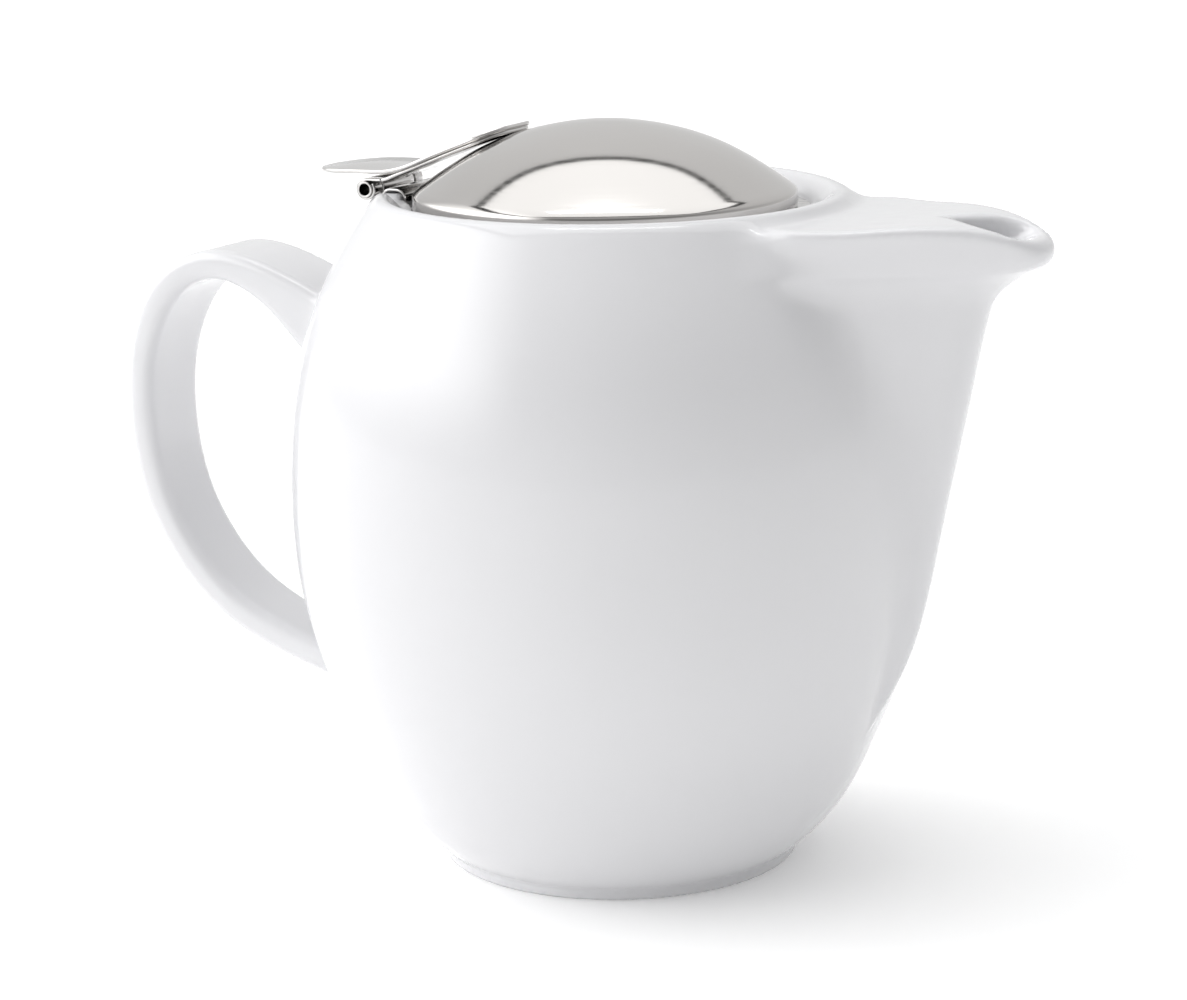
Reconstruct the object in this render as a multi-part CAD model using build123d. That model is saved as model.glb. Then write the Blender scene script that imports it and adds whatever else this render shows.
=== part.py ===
from build123d import *
import math
import os

# A small porcelain teapot with a steel basket infuser and a hinged steel lid.
# Frame: millimetres, +Z up, origin on the pot's axis in the plane it stands on,
# spout towards +X, handle towards -X.

# --- driving dimensions: pot ---
foot_radius = 28.4
foot_height = 1.9
foot_ring_inner = 24.5
foot_recess = 1.6
belly_radius = 50.9
belly_height = 60.0
rim_height = 106.0
rim_crest_radius = 35.6
rim_outer_radius = 37.7
wall = 3.6
floor_top = 5.4
ledge_height = 102.2
ledge_outer_radius = 31.6
ledge_inner_radius = 29.9
ledge_thickness = 2.6

# --- driving dimensions: spout ---
lip_x = 72.3
lip_radius = 8.5
deck_height = 104.1
deck_tip_height = 100.9
deck_flat_end_x = 53.0
spout_wall = 3.3
slot_rear_x = 55.8
slot_front_x = 68.4
slot_half_width = 5.4
slot_floor_height = 99.6

# --- driving dimensions: handle ---
strap_half_width_top = 8.2
strap_half_width_bottom = 6.4
strap_edge_radius = 1.5

# --- driving dimensions: hinge and clip ---
hinge_x = -39.5
hinge_z = 104.9
pin_radius = 1.30
pin_bore_radius = 0.95
running_clearance = 0.03
curl_radius = 1.78
barrel_half_length = 7.7
clip_knuckle_half_length = 4.8
knuckle_gap = 0.3
pin_overhang = 0.3
clip_half_width = 7.0
clip_sheet = 0.5
clip_left_x = -37.2
clip_right_x = -32.6
clip_top_z = 105.2
clip_bottom_z = 102.9
clip_clearance = 0.25
notch_half_length = 14.0
notch_floor_height = 103.7

# --- driving dimensions: lid ---
lid_x = -1.0
lid_radius = 29.8
lid_apex_z = 116.6
lid_shoulder_radius = 29.3
lid_shoulder_z = 106.1
lid_hem_z = 103.3
lid_sheet = 0.8
leaf_sheet = 0.6
leaf_half_width = 7.7
leaf_dome_half_width = 6.4
leaf_end_radius = 6.3
leaf_neck_x = -29.5
leaf_end_x = -15.0
lever_sheet = 0.7
lever_half_width = 7.9
lever_outer_x = -50.7
lever_inner_x = -14.6
lever_end_radius = 7.8
weld_gap = 0.04

# --- driving dimensions: infuser ---
flange_radius = 31.2
flange_top_z = 102.9
flange_sheet = 0.6
collar_radius = 29.2
collar_depth = 5.0
basket_sheet = 0.5
basket_top_radius = 28.5
basket_bottom_radius = 26.0
basket_bottom_z = 36.0
floor_rise = 2.0
hole_radius = 1.0
wall_hole_rows = 8
wall_holes_per_row = 24
floor_hole_rings = 4

# The shapes below are cut with blocks larger than the pot.
REACH = 200.0


def side_face(*edges):
    """A face in the XZ plane from edges drawn with x across and z up."""
    return Plane.XZ * make_face(Curve() + list(edges))


def turned(*edges):
    """The solid that the outline (radius, height) sweeps about the Z axis."""
    return revolve(side_face(*edges), Axis.Z, 360)


def block(x0, x1, y0, y1, z0, z1):
    """A box between two corners."""
    size = (x1 - x0, y1 - y0, z1 - z0)
    centre = ((x0 + x1) / 2, (y0 + y1) / 2, (z0 + z1) / 2)
    return Pos(*centre) * Box(*size)


def ribbon(points, thickness, half_width):
    """A bent strip: the centre line (x, z), given its thickness and its width along Y."""
    centre = Spline(*points)
    upper = []
    lower = []
    stations = 16
    for i in range(stations + 1):
        t = i / stations
        along = centre % t
        normal = Vector(-along.Y, along.X, 0)
        upper.append(centre @ t + normal * (thickness / 2))
        lower.append(centre @ t - normal * (thickness / 2))
    top = Spline(*upper)
    bottom = Spline(*lower)
    face = side_face(top, Line(top @ 1, bottom @ 1), bottom, Line(bottom @ 0, top @ 0))
    return extrude(face, half_width, both=True)


def rounded_strip_plan(x0, x1, half_width, end_radius):
    """A tall prism whose plan is a strip from x0 to x1 with rounded corners."""
    return extrude(Pos((x0 + x1) / 2, 0, 0) * RectangleRounded(x1 - x0, 2 * half_width, end_radius), REACH)


# --- pot body ---

def pot_outer():
    """The pot's full outer form, closed across the mouth at the rim crest."""
    foot_flat = Line((0, 0), (foot_radius - 0.8, 0))
    foot_round = ThreePointArc((foot_radius - 0.8, 0), (foot_radius - 0.2, 0.25), (foot_radius, 0.9))
    foot_side = Line((foot_radius, 0.9), (foot_radius + 0.1, foot_height))
    flank = Spline(
        (foot_radius + 0.1, foot_height),
        (34.9, 8.0),
        (41.4, 20.0),
        (47.4, 35.0),
        (belly_radius, belly_height),
        (48.9, 80.0),
        (43.3, 95.0),
        (rim_outer_radius, 104.0),
        tangents=[(0.58, 0.81), (-0.56, 0.83)],
    )
    crest = ThreePointArc((rim_outer_radius, 104.0), (36.9, 105.4), (rim_crest_radius, rim_height))
    top = Line((rim_crest_radius, rim_height), (0, rim_height))
    axis = Line((0, rim_height), (0, 0))
    return turned(foot_flat, foot_round, foot_side, flank, crest, top, axis)


def pot_cavity():
    """The hollow inside the pot, with the infuser's ledge and the rounded inner rim."""
    mouth_top = Line((0, rim_height + 1), (rim_crest_radius, rim_height + 1))
    mouth_edge = Line((rim_crest_radius, rim_height + 1), (rim_crest_radius, rim_height))
    rim_inner = ThreePointArc((rim_crest_radius, rim_height), (34.5, 105.6), (33.6, 104.8))
    rim_slope = Line((33.6, 104.8), (ledge_outer_radius, 102.9))
    ledge_side = Line((ledge_outer_radius, 102.9), (ledge_outer_radius, ledge_height))
    ledge = Line((ledge_outer_radius, ledge_height), (ledge_inner_radius, ledge_height))
    under_z = ledge_height - ledge_thickness
    neck = Line((ledge_inner_radius, ledge_height), (ledge_inner_radius, under_z))
    ledge_under = Line((ledge_inner_radius, under_z), (34.2, 98.4))
    inner_flank = Spline(
        (34.2, 98.4),
        (40.6, 91.6),
        (45.5, 79.0),
        (belly_radius - wall, belly_height),
        (44.0, 37.0),
        (37.2, 20.0),
        (27.0, 8.2),
        (14.0, floor_top),
        tangents=[(0.72, -0.69), (-1, 0)],
    )
    floor = Line((14.0, floor_top), (0, floor_top))
    axis = Line((0, floor_top), (0, rim_height + 1))
    outline = (mouth_top, mouth_edge, rim_inner, rim_slope, ledge_side, ledge, neck)
    return turned(*outline, ledge_under, inner_flank, floor, axis)


def wedge(z, root_x, root_y, nose_x, nose_radius, back):
    """A level section of the spout: straight sides from the root, round at the nose.

    The sides run on past the root by the length `back`, into the pot.
    """
    centre_x = nose_x - nose_radius
    run = centre_x - root_x
    distance = math.hypot(run, root_y)
    turn = math.asin(nose_radius / distance) - math.atan2(root_y, run)
    along = Vector(math.cos(turn), math.sin(turn))
    tangent = Vector(centre_x - nose_radius * along.Y, nose_radius * along.X)
    start = Vector(root_x, root_y) - along * back
    left = Line((start.X, start.Y), (tangent.X, tangent.Y))
    nose = ThreePointArc((tangent.X, tangent.Y), (nose_x, 0), (tangent.X, -tangent.Y))
    right = Line((tangent.X, -tangent.Y), (start.X, -start.Y))
    rear = Line((start.X, -start.Y), (start.X, start.Y))
    return Pos(0, 0, z) * make_face(Curve() + [left, nose, right, rear])


def prow(z, sides, nose_x, nose_radius):
    """A level section of the spout whose sides bow outwards on their way to the nose."""
    last_x, last_y = sides[-1]
    centre_x = nose_x - nose_radius
    run = centre_x - last_x
    turn = math.asin(nose_radius / math.hypot(run, last_y)) - math.atan2(last_y, run)
    touch_x = centre_x - nose_radius * math.sin(turn)
    touch_y = nose_radius * math.cos(turn)
    along = (math.cos(turn), math.sin(turn))
    left = Spline(*sides, (touch_x, touch_y), tangents=[(1, 0), along])
    nose = ThreePointArc((touch_x, touch_y), (nose_x, 0), (touch_x, -touch_y))
    mirrored_sides = [(x, -y) for x, y in reversed(sides)]
    ends = [(-along[0], along[1]), (-1, 0)]
    right = Spline((touch_x, -touch_y), *mirrored_sides, tangents=ends)
    rear = Line(right @ 1, left @ 0)
    return Pos(0, 0, z) * make_face(Curve() + [left, nose, right, rear])


def spout_outer():
    """The wedge of the spout below its overhanging flat deck and lip."""
    keel = [
        wedge(26, 41.5, 1.5, 44.6, 1.2, 8),
        wedge(36, 46.5, 3.0, 49.6, 2.6, 10),
        wedge(48, 49.0, 5.2, 53.0, 4.4, 10),
        wedge(62, 49.6, 8.0, 55.9, 5.8, 10),
        wedge(76, 48.2, 10.8, 58.9, 6.4, 10),
        wedge(89, 44.0, 14.2, 61.7, 6.6, 10),
        wedge(95.6, 40.0, 16.4, 64.0, 6.6, 10),
    ]
    deck = [
        prow(95.6, [(24, 19.0), (40, 16.6), (52, 10.6)], 64.0, 6.6),
        prow(97.5, [(24, 20.0), (40, 17.4), (53, 12.0)], 69.4, 6.2),
        prow(99.0, [(24, 21.0), (39, 18.4), (53, 13.4)], 72.0, 7.0),
        prow(rim_height, [(24, 23.4), (41, 20.9), (53, 16.6)], lip_x, lip_radius),
    ]
    solid = loft(keel) + loft(deck, ruled=True)
    return solid - deck_relief()


def deck_relief():
    """Everything above the deck, which is level and then falls towards the lip."""
    level = Line((0, deck_height), (deck_flat_end_x, deck_height))
    fall = Spline(
        (deck_flat_end_x, deck_height),
        (64.0, 103.3),
        (lip_x + 3, deck_tip_height - 1.6),
        tangents=[(1, 0), (0.75, -0.66)],
    )
    outer = Line(fall @ 1, (lip_x + 3, rim_height + 4))
    top = Line((lip_x + 3, rim_height + 4), (0, rim_height + 4))
    inner = Line((0, rim_height + 4), (0, deck_height))
    return extrude(side_face(level, fall, outer, top, inner), REACH, both=True)


def spout_channel():
    """The hollow that leads from the pot up to the pouring slot."""
    sections = [
        wedge(56, 40.0, 4.6, 50.4, 3.2, 8),
        wedge(76, 42.0, 8.0, 55.2, 3.6, 10),
        wedge(92, 38.0, 12.6, 59.2, 3.8, 10),
        wedge(deck_height - spout_wall, 34.0, 17.0, 64.0, 4.2, 6),
    ]
    return loft(sections)


def spout_slot():
    """The teardrop slot through the deck: pointed at the rear and round in front."""
    front_centre = slot_front_x - slot_half_width
    run = front_centre - slot_rear_x
    lean = math.asin(slot_half_width / run)
    touch_x = front_centre - slot_half_width * math.sin(lean)
    touch_y = slot_half_width * math.cos(lean)
    left = Line((slot_rear_x, 0), (touch_x, touch_y))
    front = ThreePointArc((touch_x, touch_y), (slot_front_x, 0), (touch_x, -touch_y))
    right = Line((touch_x, -touch_y), (slot_rear_x, 0))
    plan = Pos(0, 0, slot_floor_height) * make_face(Curve() + [left, front, right])
    return extrude(plan, 10)


def rim_notch():
    """The dip in the rim at the hinge, less the thin tongue that the lid's clip straddles."""
    left = clip_left_x + clip_sheet + clip_clearance
    right = clip_right_x - clip_sheet - clip_clearance
    top = clip_top_z - clip_sheet - clip_clearance
    half = clip_half_width + 0.5
    dip = block(-REACH, -25, -notch_half_length, notch_half_length, notch_floor_height, REACH)
    seat = block(-42, -31, -half, half, clip_bottom_z - 0.5, rim_height + 2)
    tongue = block(left, right, -half, half, 90, top)
    tongue = fillet(tongue.edges().filter_by(Axis.Y).group_by(Axis.Z)[-1], 1.2)
    return dip + seat - tongue


def make_pot_body():
    body = pot_outer() + spout_outer()
    body -= pot_cavity()
    body -= spout_channel()
    body -= spout_slot()
    body -= Cylinder(foot_ring_inner, 2 * foot_recess)
    return body - rim_notch()


def make_pot_handle():
    """The strap handle: one bent band, thicker where it joins the pot and narrower at the bottom."""
    outer = Spline(
        (-43.0, 83.8),
        (-51.8, 87.7),
        (-63.7, 92.2),
        (-70.3, 93.3),
        (-77.6, 90.9),
        (-83.4, 83.9),
        (-86.9, 73.0),
        (-87.1, 62.0),
        (-84.6, 49.7),
        (-79.0, 39.8),
        (-70.8, 31.8),
        (-61.0, 26.9),
        (-51.5, 23.9),
        (-41.0, 20.6),
    )
    inner = Spline(
        (-41.0, 25.0),
        (-50.7, 28.3),
        (-59.3, 31.4),
        (-68.2, 35.9),
        (-75.4, 42.9),
        (-80.1, 51.3),
        (-82.5, 62.0),
        (-82.4, 71.8),
        (-79.7, 80.6),
        (-74.8, 86.4),
        (-67.7, 88.7),
        (-60.6, 87.2),
        (-54.2, 82.9),
        (-50.3, 78.0),
        (-46.5, 72.5),
    )
    joint_side = Line(outer @ 1, inner @ 0)
    pot_side = Line(inner @ 1, outer @ 0)
    band = extrude(side_face(outer, joint_side, inner, pot_side), strap_half_width_top + 1, both=True)
    taper = Plane.YZ * Polygon(
        (-strap_half_width_bottom, 15),
        (strap_half_width_bottom, 15),
        (strap_half_width_top, 100),
        (-strap_half_width_top, 100),
        align=None,
    )
    band &= extrude(taper, REACH, both=True)
    long_edges = band.edges().filter_by(lambda edge: edge.length > 60)
    band = fillet(long_edges, strap_edge_radius)
    return band - pot_outer()


# --- infuser ---

def basket_radius(z):
    """The basket wall's outer radius at a height."""
    share = (z - basket_bottom_z) / (flange_top_z - basket_bottom_z)
    return basket_bottom_radius + share * (basket_top_radius - basket_bottom_radius)


def make_infuser_flange():
    """A pressed ring: a flat flange with a collar that the basket wall is welded inside."""
    under = flange_top_z - flange_sheet
    ring = Pos(0, 0, under) * Cylinder(
        flange_radius, flange_sheet, align=(Align.CENTER, Align.CENTER, Align.MIN)
    )
    ring = fillet(ring.edges(), 0.25)
    collar_bottom = under - collar_depth
    collar = Pos(0, 0, collar_bottom) * Cylinder(
        collar_radius, collar_depth + 0.1, align=(Align.CENTER, Align.CENTER, Align.MIN)
    )
    bore = Pos(0, 0, collar_bottom - 1) * Cylinder(
        collar_radius - 0.6, collar_depth + 3, align=(Align.CENTER, Align.CENTER, Align.MIN)
    )
    return ring + collar - bore


def make_infuser_wall():
    """The perforated basket wall, a slightly tapered tube."""
    top = flange_top_z - flange_sheet
    low_outer = basket_radius(basket_bottom_z)
    high_outer = basket_radius(top)
    tube = turned(
        Line((low_outer - basket_sheet, basket_bottom_z), (low_outer, basket_bottom_z)),
        Line((low_outer, basket_bottom_z), (high_outer, top)),
        Line((high_outer, top), (high_outer - basket_sheet, top)),
        Line((high_outer - basket_sheet, top), (low_outer - basket_sheet, basket_bottom_z)),
    )
    first_row = basket_bottom_z + 5
    last_row = top - collar_depth - 3
    drills = []
    drill = Rot(0, 90, 0) * Cylinder(hole_radius, REACH)
    for row in range(wall_hole_rows):
        z = first_row + row * (last_row - first_row) / (wall_hole_rows - 1)
        for step in range(wall_holes_per_row // 2):
            angle = (step + 0.5 * (row % 2)) * 360 / wall_holes_per_row
            drills.append(Pos(0, 0, z) * Rot(0, 0, angle) * drill)
    return tube - drills


def make_infuser_floor():
    """The perforated floor: a shallow cup whose hem grips the wall's lower edge."""
    outer = basket_bottom_radius - basket_sheet - weld_gap
    hem_top = basket_bottom_z + 3
    cup = turned(
        Line((0, basket_bottom_z + floor_rise), (outer - 5, basket_bottom_z + floor_rise)),
        Line((outer - 5, basket_bottom_z + floor_rise), (outer - 1.4, basket_bottom_z + 0.2)),
        Line((outer - 1.4, basket_bottom_z + 0.2), (outer, basket_bottom_z + 0.6)),
        Line((outer, basket_bottom_z + 0.6), (outer, hem_top)),
        Line((outer, hem_top), (outer - 0.5, hem_top)),
        Line((outer - 0.5, hem_top), (outer - 0.5, basket_bottom_z + 1.0)),
        Line((outer - 0.5, basket_bottom_z + 1.0), (outer - 1.5, basket_bottom_z + 0.8)),
        Line((outer - 1.5, basket_bottom_z + 0.8), (outer - 4.8, basket_bottom_z + floor_rise + 0.5)),
        Line((outer - 4.8, basket_bottom_z + floor_rise + 0.5), (0, basket_bottom_z + floor_rise + 0.5)),
        Line((0, basket_bottom_z + floor_rise + 0.5), (0, basket_bottom_z + floor_rise)),
    )
    drills = [Cylinder(hole_radius, REACH)]
    for ring in range(1, floor_hole_rings + 1):
        radius = ring * 3.6
        for step in range(6 * ring):
            drills.append(Rot(0, 0, step * 60 / ring) * Pos(radius, 0, 0) * Cylinder(hole_radius, REACH))
    return cup - drills


# --- lid ---

def dome_curve(offset):
    """The lid's cap line from the axis to the shoulder, moved inwards by an offset."""
    return Spline(
        (0, lid_apex_z - offset),
        (10.0 - 0.15 * offset, 115.45 - offset),
        (20.0 - 0.4 * offset, 111.95 - 0.92 * offset),
        (lid_shoulder_radius - 0.6 * offset, lid_shoulder_z - 0.75 * offset),
        tangents=[(1, 0), (0.82, -0.57)],
    )


def make_lid_dome():
    """The lid: a domed cap with a short upright hem."""
    outer = dome_curve(0)
    inner = dome_curve(lid_sheet)
    in_radius = lid_radius - lid_sheet
    corner = ThreePointArc(outer @ 1, (29.68, 105.75), (lid_radius, 105.3))
    hem_outer = Line((lid_radius, 105.3), (lid_radius, lid_hem_z))
    hem_edge = Line((lid_radius, lid_hem_z), (in_radius, lid_hem_z))
    hem_inner = Line((in_radius, lid_hem_z), (in_radius, 105.2))
    in_corner = Line((in_radius, 105.2), inner @ 1)
    axis = Line(inner @ 0, outer @ 0)
    return Pos(lid_x, 0, 0) * turned(outer, corner, hem_outer, hem_edge, hem_inner, in_corner, inner, axis)


def dome_point(x, lift):
    """A point above the dome's ridge line at x, lifted along the surface normal."""
    ridge = dome_curve(0)
    target = lid_x - x
    low, high = 0.0, 1.0
    for _ in range(40):
        mid = (low + high) / 2
        if (ridge @ mid).X < target:
            low = mid
        else:
            high = mid
    point = ridge @ low
    along = ridge % low
    normal = Vector(-along.Y, along.X, 0)
    return lid_x - point.X - normal.X * lift, point.Y + normal.Y * lift


def make_hinge_leaf():
    """The lid's hinge leaf: two curls round the pin and a strap welded along the dome."""
    lift = weld_gap + leaf_sheet / 2
    top_of_curl = hinge_z + curl_radius - leaf_sheet / 2
    strap = ribbon(
        [
            (hinge_x, top_of_curl),
            (-36.2, top_of_curl + 0.15),
            (-32.0, 107.45),
            (-29.0, 108.3),
            dome_point(-26.0, lift + 0.15),
            dome_point(-23.0, lift),
            dome_point(-20.0, lift),
            dome_point(-17.0, lift),
            dome_point(leaf_end_x, lift),
        ],
        leaf_sheet,
        leaf_half_width,
    )
    wide = block(hinge_x - 5, leaf_neck_x, -leaf_half_width, leaf_half_width, 100, 125)
    narrow_start = leaf_neck_x - 2 * leaf_end_radius
    narrow = rounded_strip_plan(narrow_start, leaf_end_x, leaf_dome_half_width, leaf_end_radius)
    strap &= wide + narrow
    window_half = clip_knuckle_half_length + knuckle_gap
    strap -= block(-50, hinge_x + 2.5, -window_half, window_half, 100, 125)
    curl = Pos(hinge_x, 0, hinge_z) * Rot(90, 0, 0) * Cylinder(curl_radius, 2 * barrel_half_length)
    curl -= block(-50, -30, -window_half, window_half, 95, 115)
    bore = Pos(hinge_x, 0, hinge_z) * Rot(90, 0, 0) * Cylinder(pin_radius + running_clearance, REACH)
    return strap + curl - bore


def make_thumb_lever():
    """The thumb plate: welded to the leaf on the dome and bent level beyond the hinge."""
    lift = 2 * weld_gap + leaf_sheet + lever_sheet / 2
    plate = ribbon(
        [
            (lever_outer_x, 107.15),
            (-46.0, 107.5),
            (-40.5, 107.72),
            (-36.0, 108.35),
            (-31.0, 109.85),
            (-26.0, 111.7),
            dome_point(-21.5, lift + 0.12),
            dome_point(-19.0, lift),
            dome_point(-16.3, lift),
            dome_point(lever_inner_x, lift),
        ],
        lever_sheet,
        lever_half_width,
    )
    return plate & rounded_strip_plan(lever_outer_x, lever_inner_x, lever_half_width, lever_end_radius)


def make_hinge_pin():
    """The hollow tube pin."""
    length = 2 * (barrel_half_length + pin_overhang)
    tube = Cylinder(pin_radius, length) - Cylinder(pin_bore_radius, length + 2)
    return Pos(hinge_x, 0, hinge_z) * Rot(90, 0, 0) * tube


def make_rim_clip():
    """The clip that straddles the rim, with the middle curl of the hinge."""
    left = clip_left_x
    right = clip_right_x
    hoop = block(left, right, -clip_half_width, clip_half_width, clip_bottom_z, clip_top_z)
    hoop = fillet(hoop.edges().filter_by(Axis.Y).group_by(Axis.Z)[-1], 1.7)
    core = block(
        left + clip_sheet,
        right - clip_sheet,
        -REACH,
        REACH,
        clip_bottom_z - 5,
        clip_top_z - clip_sheet,
    )
    core = fillet(core.edges().filter_by(Axis.Y).group_by(Axis.Z)[-1], 1.2)
    hoop -= core
    half = clip_knuckle_half_length
    curl = Pos(hinge_x, 0, hinge_z) * Rot(90, 0, 0) * Cylinder(curl_radius, 2 * half)
    tab = block(hinge_x, left + 0.3, -half, half, hinge_z - 1.1, hinge_z - 0.6)
    bore = Pos(hinge_x, 0, hinge_z) * Rot(90, 0, 0) * Cylinder(pin_radius + running_clearance, REACH)
    return hoop + curl + tab - bore


NODES = {
    "pot_body": make_pot_body,
    "pot_handle": make_pot_handle,
    "infuser_flange": make_infuser_flange,
    "infuser_wall": make_infuser_wall,
    "infuser_floor": make_infuser_floor,
    "rim_clip": make_rim_clip,
    "hinge_pin": make_hinge_pin,
    "lid_dome": make_lid_dome,
    "hinge_leaf": make_hinge_leaf,
    "thumb_lever": make_thumb_lever,
}

os.makedirs("parts", exist_ok=True)
for name, make in NODES.items():
    solid = make()
    export_step(solid, f"parts/{name}.step")
    print(name, round(solid.volume, 1), len(solid.solids()))
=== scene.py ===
import math

import bmesh
import bpy
import numpy as np
from mathutils import Matrix, Vector
from mathutils.geometry import delaunay_2d_cdt


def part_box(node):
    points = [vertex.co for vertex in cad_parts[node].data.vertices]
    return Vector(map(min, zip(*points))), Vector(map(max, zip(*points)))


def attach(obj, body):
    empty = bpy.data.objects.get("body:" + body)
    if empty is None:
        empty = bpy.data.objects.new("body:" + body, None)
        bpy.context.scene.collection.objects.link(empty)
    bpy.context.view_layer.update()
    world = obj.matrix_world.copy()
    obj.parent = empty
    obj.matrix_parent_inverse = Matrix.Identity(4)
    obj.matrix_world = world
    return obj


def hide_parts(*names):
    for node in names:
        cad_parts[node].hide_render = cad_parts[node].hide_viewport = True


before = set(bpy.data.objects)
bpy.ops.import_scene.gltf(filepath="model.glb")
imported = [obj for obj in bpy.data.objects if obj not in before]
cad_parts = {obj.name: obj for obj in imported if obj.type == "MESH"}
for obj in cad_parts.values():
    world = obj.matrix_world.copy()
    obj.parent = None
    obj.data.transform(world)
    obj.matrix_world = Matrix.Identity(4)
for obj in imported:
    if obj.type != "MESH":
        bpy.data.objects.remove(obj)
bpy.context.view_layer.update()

# Shapes are worked out in millimetres, in the frame's own axes, and become metres when a mesh is made.
MM = 0.001

# --- places that the frame gives, in millimetres ---
POT_LOW, POT_HIGH = [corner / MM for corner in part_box("pot_body")]
HANDLE_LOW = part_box("pot_handle")[0] / MM
DOME_LOW, DOME_HIGH = [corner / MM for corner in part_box("lid_dome")]
FLANGE_LOW, FLANGE_HIGH = [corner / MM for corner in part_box("infuser_flange")]
WALL_LOW, WALL_HIGH = [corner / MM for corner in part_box("infuser_wall")]
CLIP_LOW, CLIP_HIGH = [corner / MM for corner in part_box("rim_clip")]
PIN_LOW, PIN_HIGH = [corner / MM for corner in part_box("hinge_pin")]
LEAF_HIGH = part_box("hinge_leaf")[1] / MM
LEVER_LOW, LEVER_HIGH = [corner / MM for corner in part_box("thumb_lever")]

RIM_TOP = POT_HIGH.z
LIP_X = POT_HIGH.x
BELLY_RADIUS = POT_HIGH.y
LID_X = (DOME_LOW.x + DOME_HIGH.x) / 2
LID_RADIUS = (DOME_HIGH.x - DOME_LOW.x) / 2
HINGE_X = (PIN_LOW.x + PIN_HIGH.x) / 2
HINGE_Z = (PIN_LOW.z + PIN_HIGH.z) / 2


# ---------------------------------------------------------------- smooth curves and implicit shapes

def curve_through(points, start_slope=None, end_slope=None):
    """A function that runs smoothly through a few (position, value) points, and is level beyond them."""
    xs, ys = np.array(points, float).T
    count = len(xs)
    gap = np.diff(xs)
    rise = np.diff(ys) / gap
    matrix = np.zeros((count, count))
    right = np.zeros(count)
    matrix[0, 0], matrix[0, 1], right[0] = 2, 1, 3 * rise[0]
    matrix[-1, -1], matrix[-1, -2], right[-1] = 2, 1, 3 * rise[-1]
    for i in range(1, count - 1):
        matrix[i, i - 1] = gap[i]
        matrix[i, i] = 2 * (gap[i - 1] + gap[i])
        matrix[i, i + 1] = gap[i - 1]
        right[i] = 3 * (gap[i] * rise[i - 1] + gap[i - 1] * rise[i])
    if start_slope is not None:
        matrix[0, :], matrix[0, 0], right[0] = 0, 1, start_slope
    if end_slope is not None:
        matrix[-1, :], matrix[-1, -1], right[-1] = 0, 1, end_slope
    slope = np.linalg.solve(matrix, right)
    fine = np.linspace(xs[0], xs[-1], 1200)
    i = np.clip(np.searchsorted(xs, fine) - 1, 0, count - 2)
    t = (fine - xs[i]) / gap[i]
    values = (
        (2 * t**3 - 3 * t**2 + 1) * ys[i]
        + (t**3 - 2 * t**2 + t) * gap[i] * slope[i]
        + (3 * t**2 - 2 * t**3) * ys[i + 1]
        + (t**3 - t**2) * gap[i] * slope[i + 1]
    )
    return lambda where: np.interp(where, fine, values)


def join(a, b, softness):
    """The union of two fields, filleted over about `softness` millimetres."""
    blend = np.maximum(softness - np.abs(a - b), 0) / softness
    return np.minimum(a, b) - blend * blend * softness / 4


def meet(a, b, softness):
    """The part that two fields share, with its edge rounded."""
    return -join(-a, -b, softness)


def cut(a, b, softness):
    """Field a without field b, with the edge rounded."""
    return meet(a, -b, softness)


def wedge(x, y, root_x, root_y, nose_x, nose_radius):
    """In plan: straight sides from the root, round at the nose. Distance to its edge, negative inside."""
    centre_x = nose_x - nose_radius
    run = centre_x - root_x
    turn = np.arcsin(nose_radius / np.hypot(run, root_y)) - np.arctan2(root_y, run)
    along_x, along_y = np.cos(turn), np.sin(turn)
    from_x, from_y = x - centre_x, np.abs(y)
    ahead = from_x * along_x + from_y * along_y > 0
    side = from_y * along_x - from_x * along_y - nose_radius
    return np.where(ahead, np.hypot(from_x, from_y) - nose_radius, side)


def slab(x, y, z, low, high):
    """A box between two corners, as a field; a corner's None leaves that side open."""
    field = np.full(np.shape(x), -1e3)
    for value, start, end in zip((x, y, z), low, high):
        if start is not None:
            field = np.maximum(field, start - value)
        if end is not None:
            field = np.maximum(field, value - end)
    return field


# ---------------------------------------------------------------- the porcelain's form

WALL = 3.6
FOOT_TOP = 1.9
FOOT_RADIUS = 28.4
FOOT_RECESS = 24.5
FLOOR_Z = 5.4
KEEL_LOW = 20.0
KEEL_TOP = 100.0
NECK_RADIUS = 29.9
LEDGE_RADIUS = 32.0
LEDGE_Z = 102.2
# Room under the infuser's flange, and what the rim loses in height when its edges are rounded.
LEDGE_ROOM = 0.12
CREST_LOSS = 0.56
DECK_Z = 104.1
NOTCH_FLOOR_Z = 103.7

# Each list holds (height, value) points, and the deck's two hold (x, value) points.
outer_radius = curve_through(
    [
        (FOOT_TOP, 28.5), (8, 34.9), (20, 41.4), (35, 47.4), (60, BELLY_RADIUS),
        (80, 48.9), (95, 43.3), (104, 37.7), (108, 35.0),
    ],
    start_slope=1.4,
)
inner_radius = curve_through(
    [
        (3, 24.5), (9, 29.6), (20, 37.2), (37, 44.0), (60, BELLY_RADIUS - WALL),
        (79, 45.5), (91.6, 40.6), (98.4, 34.2),
    ],
)
keel_root_x = curve_through(
    [
        (20, 38.0), (26, 41.5), (36, 46.5), (48, 49.0), (62, 49.6),
        (76, 48.2), (89, 44.0), (96, 40.0), (101, 37.0),
    ],
)
keel_root_y = curve_through(
    [(20, 0.9), (26, 1.5), (36, 3.0), (48, 5.2), (62, 8.0), (76, 10.8), (89, 14.2), (96, 16.4), (101, 18.0)],
)
keel_nose_x = curve_through(
    [
        (20, 40.4), (26, 44.4), (36, 49.6), (48, 53.0), (62, 55.9),
        (76, 58.9), (89, 61.7), (96, 64.0), (101, 66.5),
    ],
)
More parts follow.
